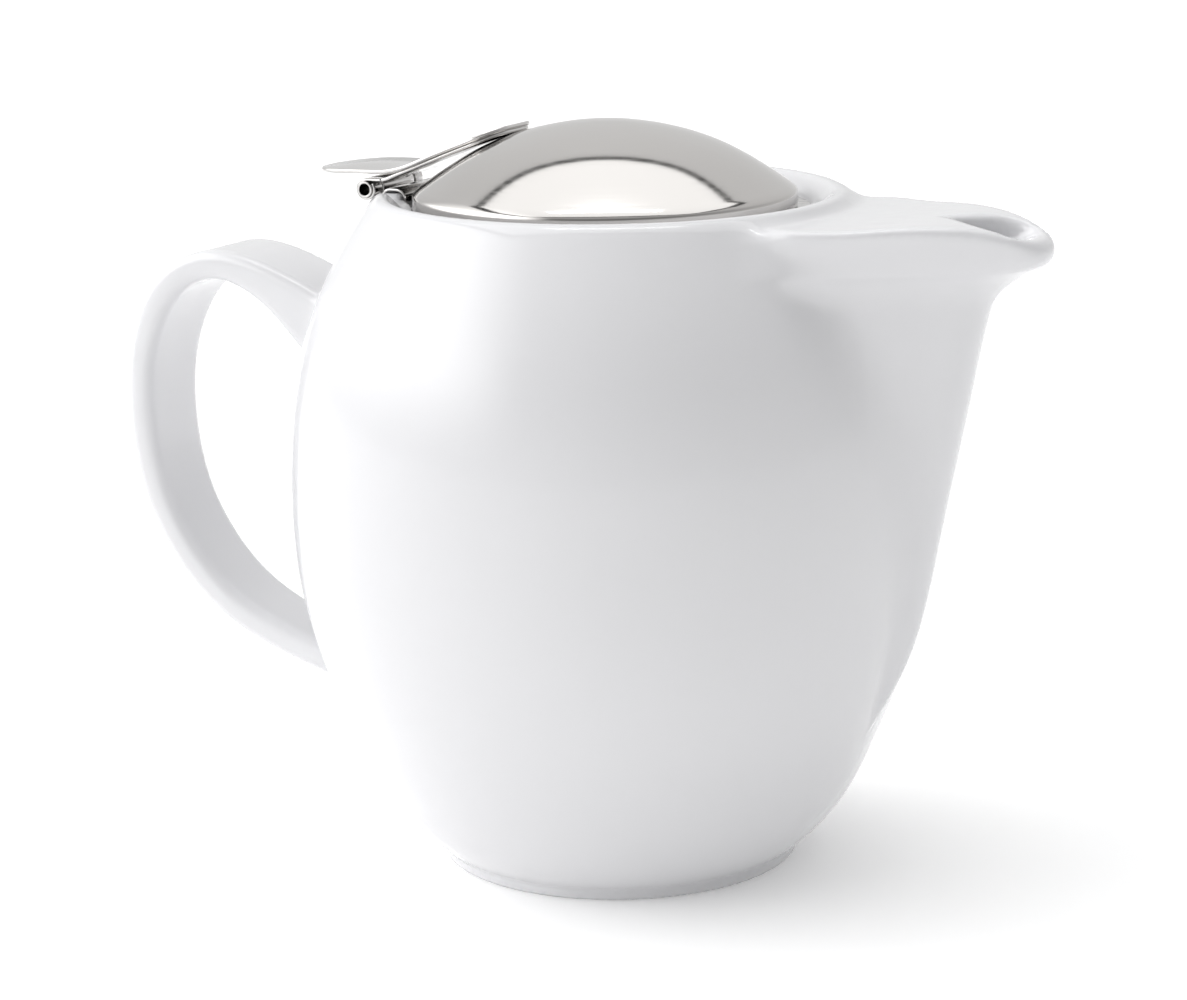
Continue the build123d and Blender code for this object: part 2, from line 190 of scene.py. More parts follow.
keel_nose_radius = curve_through(
    [(20, 0.7), (26, 1.2), (36, 2.6), (48, 4.4), (62, 5.8), (76, 6.4), (89, 6.6), (101, 6.6)],
)
channel_half = curve_through([(56, 4.6), (76, 8.0), (92, 12.6), (101, 17.0)])
channel_nose = curve_through([(56, 50.4), (76, 55.2), (92, 59.2), (101, 64.0)])
deck_half_width = curve_through([(20, 23.4), (30, 23.0), (41, 20.9), (53, 16.6), (64, 11.4), (76, 5.0)])
deck_top = curve_through(
    [(44, DECK_Z), (52, 104.5), (58, 104.6), (64, 104.0), (68, 102.9), (LIP_X, 101.2), (76, 98.9)],
    start_slope=0,
)

# The handle's centre line from the upper root to the lower: x, z and half its thickness.
HANDLE_LINE = [
    (-42.0, 76.5, 6.4),
    (-47.0, 80.0, 5.6),
    (-51.5, 83.3, 4.7),
    (-56.4, 86.7, 3.6),
    (-62.4, 89.7, 2.8),
    (-69.2, 91.0, 2.4),
    (-76.2, 88.6, 2.4),
    (-81.5, 82.2, 2.4),
    (-84.6, 72.4, 2.3),
    (-84.8, 62.0, 2.3),
    (-82.3, 50.5, 2.35),
    (-77.2, 41.4, 2.4),
    (-69.5, 33.9, 2.45),
    (-60.2, 29.2, 2.4),
    (-51.1, 26.1, 2.3),
    (-40.0, 22.6, 2.3),
]
HANDLE_EDGE = 1.7


def spaced_line(points, samples):
    """The smooth line through points of any number of values, cut into even steps."""
    points = np.array(points, float)
    steps = np.hypot(*np.diff(points[:, :2], axis=0).T)
    at = np.concatenate([[0], np.cumsum(steps)])
    fine = np.linspace(0, at[-1], samples)
    return np.stack([curve_through(np.stack([at, column], 1))(fine) for column in points.T], 1)


HANDLE_SAMPLES = spaced_line(HANDLE_LINE, 220)


def handle_field(x, y, z):
    """The strap: a bent band whose section is a rectangle with rounded corners."""
    result = np.full(x.shape, 50.0)
    near = (x < -36) & (np.abs(y) < 14) & (z < 100) & (z > 12)
    px, py, pz = x[near], y[near], z[near]
    best = np.full(px.shape, 1e9)
    start = HANDLE_SAMPLES[:-1]
    step = np.diff(HANDLE_SAMPLES, axis=0)
    for (sx, sz, half), (dx, dz, dhalf) in zip(start, step):
        t = np.clip(((px - sx) * dx + (pz - sz) * dz) / (dx * dx + dz * dz), 0, 1)
        distance = np.hypot(px - sx - t * dx, pz - sz - t * dz) - half - t * dhalf
        np.minimum(best, distance, out=best)
    half_width = 6.4 + 1.8 * np.clip((pz - 15) / 85, 0, 1)
    across = best + HANDLE_EDGE
    side = np.abs(py) - half_width + HANDLE_EDGE
    outside = np.hypot(np.maximum(across, 0), np.maximum(side, 0))
    result[near] = outside + np.minimum(np.maximum(across, side), 0) - HANDLE_EDGE
    return result


def share(value, start, end):
    """How far a value has come from start to end, from 0 to 1."""
    return np.clip((value - start) / (end - start), 0, 1)


def round_body(r, z):
    """The turned body, on its foot and with a rolled rim."""
    body = (r - outer_radius(z)) * 0.85
    body = np.where(z < FOOT_TOP, r - FOOT_RADIUS, body)
    return meet(body, z - RIM_TOP - CREST_LOSS, 2.8)


def with_keel(body, x, y, z):
    """The body with the spout's keel, and a crease between them that fades out below."""
    nose_x = keel_nose_x(z)
    keel = wedge(x, y, keel_root_x(z), keel_root_y(z), nose_x, keel_nose_radius(z)) * 0.97
    keel = np.maximum(meet(keel, z - KEEL_TOP, 1.0), np.maximum(KEEL_LOW - z, KEEL_LOW - x))
    crease = np.clip(1.1 * (nose_x - outer_radius(z)), 0.4, 3.2)
    return join(body, keel, crease)


def with_deck(body, x, y, z):
    """The body with the spout's flat deck, which overhangs the keel and ends in the pouring lip."""
    drop = RIM_TOP - z
    side = (np.abs(y) - deck_half_width(x) + 0.4 * drop) * 0.9
    nose = wedge(x, y, 53.0, 16.6 - 0.4 * drop, LIP_X - 0.04 * drop, 8.5 - 0.2 * drop)
    plan = meet(np.maximum(side, 15 - x), nose, 2.0)
    under = (98.3 - z + 0.36 * plan) * 0.94
    edge = 1.7 + 4.5 * share(39 - x, 0, 9)
    deck = meet(meet(plan, under, 1.8), z - deck_top(x), edge)
    fillet = 1.2 + 1.2 * share(np.abs(y), 8, 20) + 4.8 * share(101.5 - z, 0, 4)
    return join(body, deck, fillet)


def with_mouth(body, r, z):
    """The body hollowed out, with a neck, the ledge that the infuser hangs on and a flared mouth."""
    hollow = meet((r - inner_radius(z)) * 0.85, FLOOR_Z - z, 7.0)
    hollow = np.maximum(hollow, (z - 99.6 + 0.28 * (r - NECK_RADIUS)) * 0.96)
    above_ledge = LEDGE_Z - LEDGE_ROOM - z
    neck = np.maximum(r - NECK_RADIUS, 90 - z)
    ledge = np.maximum(r - LEDGE_RADIUS, above_ledge)
    mouth = np.maximum((r - 33.6 - (z - 104.8) * 1.05) * 0.69, above_ledge)
    opening = join(hollow, join(neck, join(ledge, mouth, 1.2), 1.0), 0.8)
    return cut(body, opening, 1.5)


def with_spout_way(body, x, y, z):
    """The body with the channel inside the spout and the pouring slot, whose floor ramps up to the lip."""
    channel = wedge(x, y, 40.0, channel_half(z), channel_nose(z), 3.8)
    channel = np.maximum(channel, np.maximum(56 - z, z - 100.6))
    body = cut(body, np.maximum(channel, 30 - x), 1.2)
    slot = wedge(x, y, 55.8, 0.001, 70.2, 5.6)
    slot = meet(slot, (97.6 + 0.42 * (x - 58) - z) * 0.92, 1.5)
    return cut(body, slot, 1.3)


def with_hinge_seat(body, x, y, z):
    """The body with the dip in its rim at the hinge, and the tongue that the clip straddles."""
    dip = meet(NOTCH_FLOOR_Z - z, np.abs(y) - 14, 2.0)
    body = cut(body, np.maximum(dip, x + 25), 1.6)
    seat = slab(x, y, z, (-42, -7.5, 102.4), (-31, 7.5, None))
    tongue = slab(x, y, z, (-36.4, -7.9, 90), (-33.4, 7.9, 104.4))
    return join(cut(body, seat, 0.6), tongue, 0.3)


def porcelain(x, y, z):
    """The whole pot as one field in millimetres: below zero in the porcelain, above zero outside it."""
    r = np.hypot(x, y)
    body = with_keel(round_body(r, z), x, y, z)
    body = with_deck(body, x, y, z)
    body = join(body, handle_field(x, y, z), 4.0)
    body = with_mouth(body, r, z)
    body = with_spout_way(body, x, y, z)
    body = with_hinge_seat(body, x, y, z)
    recess = np.maximum(r - FOOT_RECESS, z - 1.6)
    return meet(cut(body, recess, 0.9), -z, 0.9)


# ---------------------------------------------------------------- mesh making

CELL_CORNERS = np.array([(i, j, k) for i in (0, 1) for j in (0, 1) for k in (0, 1)])
CELL_EDGES = [
    (a, b)
    for a in range(8)
    for b in range(a + 1, 8)
    if np.abs(CELL_CORNERS[a] - CELL_CORNERS[b]).sum() == 1
]
SLAB_ROWS = 8


def field_surface(field, low, high, step):
    """The zero surface of a field: one point in each grid cell that it crosses, and four-sided faces."""
    axes = [np.arange(start, end + step, step) for start, end in zip(low, high)]
    rows = []
    for i in range(0, len(axes[0]), SLAB_ROWS):
        grid = np.meshgrid(axes[0][i : i + SLAB_ROWS], axes[1], axes[2], indexing="ij")
        rows.append(field(*grid))
    values = np.concatenate(rows)
    inside = values < 0
    cells = [s - 1 for s in values.shape]
    corners = [tuple(slice(o, o + n) for o, n in zip(corner, cells)) for corner in CELL_CORNERS]
    total = sum(inside[c].astype(np.int8) for c in corners)
    where = np.argwhere((total > 0) & (total < 8))
    corner_values = np.stack([values[tuple((where + c).T)] for c in CELL_CORNERS], 1)
    place = np.zeros((len(where), 3))
    crossings = np.zeros(len(where))
    for a, b in CELL_EDGES:
        va, vb = corner_values[:, a], corner_values[:, b]
        crossed = (va < 0) != (vb < 0)
        t = np.where(crossed, va / np.where(crossed, va - vb, 1), 0)[:, None]
        point = CELL_CORNERS[a] + t * (CELL_CORNERS[b] - CELL_CORNERS[a])
        place += point * crossed[:, None]
        crossings += crossed
    points = np.array(low) + step * (where + place / crossings[:, None])
    number = np.full(cells, -1)
    number[tuple(where.T)] = np.arange(len(where))
    faces = []
    for axis in range(3):
        u, v = (axis + 1) % 3, (axis + 2) % 3
        first = [slice(1, -1)] * 3
        second = [slice(1, -1)] * 3
        first[axis], second[axis] = slice(0, -1), slice(1, None)
        here, there = inside[tuple(first)], inside[tuple(second)]
        spots = np.argwhere(here != there)
        leaving = here[tuple(spots.T)]
        spots[:, u] += 1
        spots[:, v] += 1
        ring = []
        for du, dv in ((1, 1), (0, 1), (0, 0), (1, 0)):
            cell = spots.copy()
            cell[:, u] -= du
            cell[:, v] -= dv
            ring.append(number[tuple(cell.T)])
        quads = np.stack(ring, 1)
        quads[~leaving] = quads[~leaving][:, ::-1]
        faces.append(quads)
    return points, np.concatenate(faces)


def settle(points, field, reach):
    """Moves each point along the field's slope until it lies on the zero surface."""
    nudge = 0.02
    start = points.copy()
    for _ in range(3):
        value = field(*points.T)
        rises = [field(*(points + o).T) - field(*(points - o).T) for o in nudge * np.eye(3)]
        slope = np.stack([rise / (2 * nudge) for rise in rises], 1)
        points = points - slope * (value / np.maximum((slope**2).sum(1), 0.15))[:, None]
        moved = points - start
        length = np.linalg.norm(moved, axis=1, keepdims=True)
        points = start + moved * np.minimum(1, reach / np.maximum(length, 1e-9))
    return points


def evened(points, faces):
    """Each point moved to the middle of its neighbours, which evens out the faces."""
    total = np.zeros_like(points)
    count = np.zeros(len(points))
    for a, b in ((0, 1), (1, 2), (2, 3), (3, 0)):
        for start, end in ((a, b), (b, a)):
            np.add.at(total, faces[:, start], points[faces[:, end]])
            np.add.at(count, faces[:, start], 1)
    return 0.5 * points + 0.5 * total / count[:, None]


def mesh_object(name, points, faces):
    """A smooth-shaded object from points in millimetres."""
    mesh = bpy.data.meshes.new(name)
    mesh.from_pydata((np.asarray(points) * MM).tolist(), [], [list(map(int, face)) for face in faces])
    mesh.validate()
    mesh.shade_smooth()
    piece = bpy.data.objects.new(name, mesh)
    bpy.context.scene.collection.objects.link(piece)
    return piece


def lathe(name, outline, centre_x=0.0, segments=192):
    """A closed outline of (radius, z) points turned about the vertical line at centre_x."""
    outline = np.array(outline, float)
    angles = np.linspace(0, 2 * math.pi, segments, endpoint=False)
    ring = np.stack([np.cos(angles), np.sin(angles)], 1)
    points = np.array([(centre_x + r * c, r * s, z) for r, z in outline for c, s in ring])
    rows = len(outline)
    faces = []
    for row in range(rows):
        after = (row + 1) % rows
        if outline[row, 0] < 1e-6 and outline[after, 0] < 1e-6:
            continue
        for i in range(segments):
            j = (i + 1) % segments
            low, high = row * segments, after * segments
            faces.append((low + i, low + j, high + j, high + i))
    piece = mesh_object(name, points, faces)
    weld(piece)
    return piece


def weld(piece):
    """Joins the points of a piece that lie on each other, and turns its faces outwards."""
    work = bmesh.new()
    work.from_mesh(piece.data)
    bmesh.ops.remove_doubles(work, verts=work.verts, dist=0.002 * MM)
    bmesh.ops.dissolve_degenerate(work, edges=work.edges, dist=0.001 * MM)
    bmesh.ops.recalc_face_normals(work, faces=work.faces)
    work.to_mesh(piece.data)
    work.free()
    piece.data.shade_smooth()


def round_corners(corners, radius, steps=6):
    """A closed outline whose corners are rounded."""
    corners = np.array(corners, float)
    outline = []
    for before, here, after in zip(np.roll(corners, 1, 0), corners, np.roll(corners, -1, 0)):
        back, ahead = before - here, after - here
        reach = min(radius, 0.45 * np.linalg.norm(back), 0.45 * np.linalg.norm(ahead))
        start = here + back / np.linalg.norm(back) * reach
        end = here + ahead / np.linalg.norm(ahead) * reach
        for t in np.linspace(0, 1, steps):
            outline.append((1 - t) ** 2 * start + 2 * t * (1 - t) * here + t**2 * end)
    return np.array(outline)


# Distances from a strip's ends at which it gets a section, so that the round ends come out smooth.
STRIP_ENDS = [0, 0.01, 0.03, 0.07, 0.13, 0.22, 0.35, 0.6, 0.9, 1.3, 1.8, 2.5, 3.3, 4.2, 5.2, 6.4, 7.8]


def strip(name, path, thickness, half_width, middle_y=0.0, end_radii=(0.3, 0.3)):
    """Bent sheet metal: a path of (x, z) points, given its thickness, its width and round edges."""
    path = np.array(path, float)
    lengths = np.hypot(*np.diff(path, axis=0).T)
    at = np.concatenate([[0], np.cumsum(lengths)])
    total = at[-1]
    close = np.array(STRIP_ENDS)
    stations = np.concatenate([close, total - close, np.linspace(0, total, 60)])
    stations = np.unique(np.round(stations, 4))
    stations = stations[(stations >= 0) & (stations <= total)]
    px, pz = np.interp(stations, at, path[:, 0]), np.interp(stations, at, path[:, 1])
    tx, tz = np.gradient(px, stations), np.gradient(pz, stations)
    norm = np.hypot(tx, tz)
    nx, nz = -tz / norm, tx / norm
    half_thick = thickness / 2
    edge = np.linspace(-math.pi / 2, math.pi / 2, 7)
    points, loops = [], []
    for i, s in enumerate(stations):
        width, thick = half_width, half_thick
        for d, radius in ((s, end_radii[0]), (total - s, end_radii[1])):
            if d < radius:
                width -= radius - math.sqrt(max(radius**2 - (radius - d) ** 2, 0))
            if d < half_thick:
                thick *= max(math.sqrt(1 - (1 - d / half_thick) ** 2), 0.02)
        flat = max(width - half_thick, 0.01)
        section = [(flat + half_thick * math.cos(a), thick * math.sin(a)) for a in edge]
        section += [(-flat - half_thick * math.cos(a), thick * math.sin(a)) for a in edge[::-1]]
        loops.append(len(points))
        points += [(px[i] + n * nx[i], middle_y + y, pz[i] + n * nz[i]) for y, n in section]
    size = 2 * len(edge)
    faces = [list(range(size))[::-1], [loops[-1] + k for k in range(size)]]
    for a, b in zip(loops, loops[1:]):
        faces += [(a + k, a + (k + 1) % size, b + (k + 1) % size, b + k) for k in range(size)]
    piece = mesh_object(name, points, faces)
    weld(piece)
    return piece


def merge(name, pieces):
    """Several meshes made into one piece."""
    work = bmesh.new()
    for piece in pieces:
        work.from_mesh(piece.data)
        bpy.data.objects.remove(piece)
    mesh = bpy.data.meshes.new(name)
    work.to_mesh(mesh)
    work.free()
    mesh.shade_smooth()
    merged = bpy.data.objects.new(name, mesh)
    bpy.context.scene.collection.objects.link(merged)
    return merged


def arc(centre, radius, start_deg, end_deg, steps=24):
    """Points of an arc in the XZ plane."""
    angles = np.radians(np.linspace(start_deg, end_deg, steps))
    return [(centre[0] + radius * math.cos(a), centre[1] + radius * math.sin(a)) for a in angles]


# ---------------------------------------------------------------- materials

def new_material(name):
    """A node material, and its Principled shader."""
    material = bpy.data.materials.new(name)
    material.use_nodes = True
    return material, material.node_tree, material.node_tree.nodes["Principled BSDF"]


def add_noise(tree, scale, detail=3.0, stretch=(1, 1, 1)):
    """A noise texture in object coordinates; scale is in features per metre."""
    place = tree.nodes.new("ShaderNodeTexCoord")
    mapping = tree.nodes.new("ShaderNodeMapping")
    mapping.inputs["Scale"].default_value = stretch
    noise = tree.nodes.new("ShaderNodeTexNoise")
    noise.inputs["Scale"].default_value = scale
    noise.inputs["Detail"].default_value = detail
    tree.links.new(place.outputs["Object"], mapping.inputs["Vector"])
    tree.links.new(mapping.outputs["Vector"], noise.inputs["Vector"])
    return noise


def spread(tree, source, low, high):
    """Maps a 0..1 output onto low..high."""
    node = tree.nodes.new("ShaderNodeMapRange")
    node.inputs["From Min"].default_value = 0.3
    node.inputs["From Max"].default_value = 0.7
    node.inputs["To Min"].default_value = low
    node.inputs["To Max"].default_value = high
    tree.links.new(source, node.inputs["Value"])
    return node.outputs["Result"]


def add_bump(tree, shader, height, distance, strength):
    node = tree.nodes.new("ShaderNodeBump")
    node.inputs["Distance"].default_value = distance
    node.inputs["Strength"].default_value = strength
    tree.links.new(height, node.inputs["Height"])
    tree.links.new(node.outputs["Normal"], shader.inputs["Normal"])


def add_colour(tree, shader, source, dark, light):
    ramp = tree.nodes.new("ShaderNodeValToRGB")
    ramp.color_ramp.elements[0].position = 0.3
    ramp.color_ramp.elements[1].position = 0.7
    ramp.color_ramp.elements[0].color = (*dark, 1)
    ramp.color_ramp.elements[1].color = (*light, 1)
    tree.links.new(source, ramp.inputs["Fac"])
    tree.links.new(ramp.outputs["Color"], shader.inputs["Base Color"])


def porcelain_material():
    """White glazed porcelain: faint tone changes, a slow waviness in the glaze and fine orange peel."""
    material, tree, shader = new_material("porcelain_glaze")
    clouds = add_noise(tree, 18, 2)
    add_colour(tree, shader, clouds.outputs["Fac"], (0.665, 0.665, 0.68), (0.68, 0.68, 0.695))
    peel = add_noise(tree, 420, 3)
    tree.links.new(spread(tree, peel.outputs["Fac"], 0.09, 0.15), shader.inputs["Roughness"])
    waves = add_noise(tree, 55, 2)
    mix = tree.nodes.new("ShaderNodeMath")
    mix.operation = "MULTIPLY_ADD"
    mix.inputs[1].default_value = 0.06
    tree.links.new(peel.outputs["Fac"], mix.inputs[0])
    tree.links.new(waves.outputs["Fac"], mix.inputs[2])
    add_bump(tree, shader, mix.outputs["Value"], 0.0006, 0.12)
    shader.inputs["IOR"].default_value = 1.5
    shader.inputs["Coat Weight"].default_value = 0.3
    shader.inputs["Coat Roughness"].default_value = 0.04
    return material


def steel_material(name, low_roughness, high_roughness, tone, centre=None, line_scale=900, bump=0.05):
    """Stainless steel with the fine rings of spinning about a centre, or else a fine straight grain."""
    material, tree, shader = new_material(name)
    shader.inputs["Metallic"].default_value = 1.0
    clouds = add_noise(tree, 60, 3)
    dark = tuple(0.97 * c for c in tone)
    add_colour(tree, shader, clouds.outputs["Fac"], dark, tone)
    if centre is None:
        grain = add_noise(tree, line_scale, 2, stretch=(0.04, 1, 0.04))
        lines = grain.outputs["Fac"]
    else:
        place = tree.nodes.new("ShaderNodeTexCoord")
        shift = tree.nodes.new("ShaderNodeVectorMath")
        shift.operation = "SUBTRACT"
        shift.inputs[1].default_value = (centre * MM, 0, 0)
        flatten = tree.nodes.new("ShaderNodeVectorMath")
        flatten.operation = "MULTIPLY"
        flatten.inputs[1].default_value = (1, 1, 0)
        length = tree.nodes.new("ShaderNodeVectorMath")
        length.operation = "LENGTH"
        noise = tree.nodes.new("ShaderNodeTexNoise")
        noise.noise_dimensions = "1D"
        noise.inputs["Scale"].default_value = line_scale
        noise.inputs["Detail"].default_value = 2
        tree.links.new(place.outputs["Object"], shift.inputs[0])
        tree.links.new(shift.outputs["Vector"], flatten.inputs[0])
        tree.links.new(flatten.outputs["Vector"], length.inputs[0])
        tree.links.new(length.outputs["Value"], noise.inputs["W"])
        lines = noise.outputs["Fac"]
    tree.links.new(spread(tree, lines, low_roughness, high_roughness), shader.inputs["Roughness"])
    add_bump(tree, shader, lines, 0.00002, bump)
    return material


def finish_piece(piece, material, body, slot, *nodes):
    """Gives a piece its material and its body, and hides the CAD nodes it stands for; the slot argument is
    not used.
    """
    piece.data.materials.clear()
    piece.data.materials.append(material)
    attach(piece, body)
    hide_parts(*nodes)


# ---------------------------------------------------------------- the pieces

def make_pot(step):
    """The one fired piece: body, spout and handle with soft glazed transitions."""
    low = (HANDLE_LOW.x - 3, POT_LOW.y - 3, -3)
    high = (POT_HIGH.x + 3, POT_HIGH.y + 3, RIM_TOP + 3)
    points, faces = field_surface(porcelain, low, high, step)
    points = settle(points, porcelain, step)
    for _ in range(2):
        points = settle(evened(points, faces), porcelain, step)
    points[:, 2] = np.clip(points[:, 2], 0, RIM_TOP)
    return mesh_object("pot_porcelain", points, faces)


dome_height = curve_through(
    [(0, DOME_HIGH.z), (10, 115.45), (20, 111.95), (29.3, 106.1)],
    start_slope=0,
    end_slope=-0.7,
)


def make_lid():
    """The pressed lid: a shallow dome, a tight shoulder and an upright hem that is turned in."""
    radii = np.linspace(0, 29.0, 60)
    outer = [(r, float(dome_height(r))) for r in radii]
    shoulder = [(29.35, 105.98), (29.6, 105.75), (29.75, 105.5), (LID_RADIUS, 105.2)]
    low = DOME_LOW.z
    hem = [(LID_RADIUS, 104.2), (LID_RADIUS, low + 0.2), (29.72, low + 0.04), (29.4, low)]
    hem += [(29.08, low + 0.04), (29.0, low + 0.2), (29.0, 104.2), (29.0, 105.2)]
    inner = [(r * 28.4 / 29.0, float(dome_height(r)) - 0.8) for r in radii[::-1]]
    return lathe("lid_cap", outer + shoulder + hem + inner, LID_X, 256)


def dome_line(x, lift):
    """The height of the dome's ridge line at x, lifted off the metal."""
    return float(dome_height(abs(x - LID_X))) + lift


PATH_SAMPLES = 160
LEAF_SHEET = 0.6
LEVER_SHEET = 0.7
CURL_RADIUS = 1.78
WELD_GAP = 0.04
LEVER_TRIM = 1.2
LEVER_RAMP = [(-36.5, 107.85), (-33.0, 108.5), (-28.4, 110.3), (-24.0, 112.05)]


def make_lever():
    """The thumb plate, bent level beyond the hinge and lying on the dome at its inner end."""
    lift = 2 * WELD_GAP + LEAF_SHEET + LEVER_SHEET / 2
    path = [(LEVER_LOW.x, 107.15), (-46.0, 107.5), (-40.5, 107.72), *LEVER_RAMP]
    path += [(x, dome_line(x, lift + 0.06)) for x in (-19.0, -17.5, LEVER_HIGH.x - LEVER_TRIM)]
    return strip("thumb_plate", spaced_line(path, PATH_SAMPLES), LEVER_SHEET, 7.9, end_radii=(7.7, 5.5))


def make_leaf():
    """The hinge leaf: a strap on the dome that ends in two curls round the pin."""
    top = HINGE_Z + CURL_RADIUS - LEAF_SHEET / 2
    lift = WELD_GAP + LEAF_SHEET / 2
    below_lever = (LEVER_SHEET + LEAF_SHEET) / 2 + WELD_GAP
    path = [(-37.0, top + 0.1), (-36.2, top + 0.2), (-34.8, top + 0.72)]
    path += [(x, z - below_lever) for x, z in LEVER_RAMP[1:]]
    path += [(x, dome_line(x, lift + 0.08)) for x in (-19.0, -17.5, LEVER_HIGH.x - LEVER_TRIM)]
    strap = strip("strap", spaced_line(path, PATH_SAMPLES), LEAF_SHEET, 7.5, end_radii=(0.3, 5.5))
    pieces = [strap]
    centre = (HINGE_X, HINGE_Z)
    for side in (-1, 1):
        curl_path = [(-36.6, top + 0.13), (-37.6, top + 0.06)]
        curl_path += arc(centre, CURL_RADIUS - LEAF_SHEET / 2 + 0.03, 90, 400, 40)
        middle = side * (LEAF_HIGH.y - 1.3)
        pieces.append(strip("curl", curl_path, 0.42, 1.3, middle_y=middle))
    return merge("lid_hinge_leaf", pieces)


def make_clip():
    """The spring clip over the rim, with the middle curl of the hinge."""
    left, right = CLIP_HIGH.x - 4.6 + 0.25, CLIP_HIGH.x - 0.25
    top = 105.2 - 0.25
    path = [(left, CLIP_LOW.z), (left, 103.3)]
    path += arc((left + 1.45, top - 1.45), 1.45, 180, 90, 10)
    path += arc((right - 1.45, top - 1.45), 1.45, 90, 0, 10)
    path += [(right, 103.3), (right, CLIP_LOW.z)]
    hoop = strip("hoop", path, 0.5, 7.0)
    curl_path = arc((HINGE_X, HINGE_Z), 1.55, -40, 270, 40)
    curl_path += [(HINGE_X + 1.3, HINGE_Z - 1.2), (left, HINGE_Z - 0.9)]
    curl = strip("curl", curl_path, 0.42, 4.8)
    return merge("rim_spring_clip", [hoop, curl])


def make_pin():
    """The tube that the hinge turns on, with rounded ends."""
    length = PIN_HIGH.y - PIN_LOW.y
    outline = round_corners([(0.95, 0), (1.3, 0), (1.3, length), (0.95, length)], 0.12)
    pin = lathe("hinge_tube_pin", outline, 0, 64)
    turn = Matrix.Rotation(math.radians(-90), 4, "X")
    pin.data.transform(Matrix.Translation(Vector((HINGE_X, PIN_LOW.y, HINGE_Z)) * MM) @ turn)
    return pin


def make_flange():
    """The infuser's pressed rim and collar."""
    top, under, collar = FLANGE_HIGH.z, FLANGE_HIGH.z - 0.6, FLANGE_LOW.z
    outline = [(28.6, top), (31.2, top), (31.2, under), (29.2, under), (29.2, collar), (28.6, collar)]
    return lathe("infuser_rim", round_corners(outline, 0.28), 0, 192)


def perforated(name, columns, rows, place, thickness):
    """A sheet of sheared cells with a round hole in each; place(u, v) gives a point in millimetres."""
    hole = 0.29
    angles = [math.radians(a) for a in (225, 270, 315, 0, 45, 90, 135, 180)]
    rim = [(0, 0), (0.5, 0), (1, 0), (1, 0.5), (1, 1), (0.5, 1), (0, 1), (0, 0.5)]
    points, faces = [], []
    for row in range(rows):
        for column in range(columns):
            base = len(points)
            for u, v in rim:
                points.append(place(column + u + 0.5 * (row + v), row + v))
            for a in angles:
                u, v = 0.5 + hole * math.cos(a), 0.5 + hole * math.sin(a) * 0.95
                points.append(place(column + u + 0.5 * (row + 0.5), row + v))
            faces += [(base + k, base + (k + 1) % 8, base + 8 + (k + 1) % 8, base + 8 + k) for k in range(8)]
    sheet = mesh_object(name, points, faces)
    weld(sheet)
    thick = sheet.modifiers.new("sheet", "SOLIDIFY")
    thick.thickness = thickness * MM
    thick.offset = -1
    with bpy.context.temp_override(object=sheet):
        bpy.ops.object.modifier_apply(modifier=thick.name)
    return sheet


BASKET_SHEET = 0.5


def make_basket_wall():
    """The perforated wall of the basket between two plain bands."""
    low, high = WALL_LOW.z + 3.4, FLANGE_LOW.z - 1.0
    columns, rows = ((78, 27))

    def radius(z):
        return 26.0 + 2.5 * (z - WALL_LOW.z) / (FLANGE_HIGH.z - WALL_LOW.z)

    def place(u, v):
        z = low + (high - low) * v / rows
        angle = 2 * math.pi * u / columns
        return (radius(z) * math.cos(angle), radius(z) * math.sin(angle), z)

    wall = perforated("holes", columns, rows, place, BASKET_SHEET)
    bands = []
    for start, end in ((WALL_LOW.z, low), (high, WALL_HIGH.z)):
        outline = [(radius(start) - BASKET_SHEET, start), (radius(start), start)]
        outline += [(radius(end), end), (radius(end) - BASKET_SHEET, end)]
        bands.append(lathe("band", round_corners(outline, 0.1, 3), 0, 156))
    return merge("basket_wall", [wall, *bands])


def make_basket_floor():
    """The perforated floor of the basket in its pressed ring."""
    z = WALL_LOW.z + 2.25
    pitch, reach = 2.3, 20.6
    cells = 9
    holes = []
    for row in range(-cells, cells + 1):
        for column in range(-cells, cells + 1):
            x, y = pitch * (column + 0.5 * (row % 2)), pitch * 0.87 * row
            if math.hypot(x, y) < reach - 1.6:
                holes.append((x, y))
    disc = drilled_disc("disc", reach, z, BASKET_SHEET, holes, 0.62)
    base = WALL_LOW.z
    outline = [(20.4, base + 2.0), (24.1, base + 0.2), (25.46, base + 0.6), (25.46, base + 3.0)]
    outline += [(24.96, base + 3.0), (24.96, base + 1.0), (24.0, base + 0.8), (20.5, base + 2.5)]
    ring = lathe("ring", round_corners(outline, 0.3, 4), 0, 156)
    return merge("basket_floor", [disc, ring])


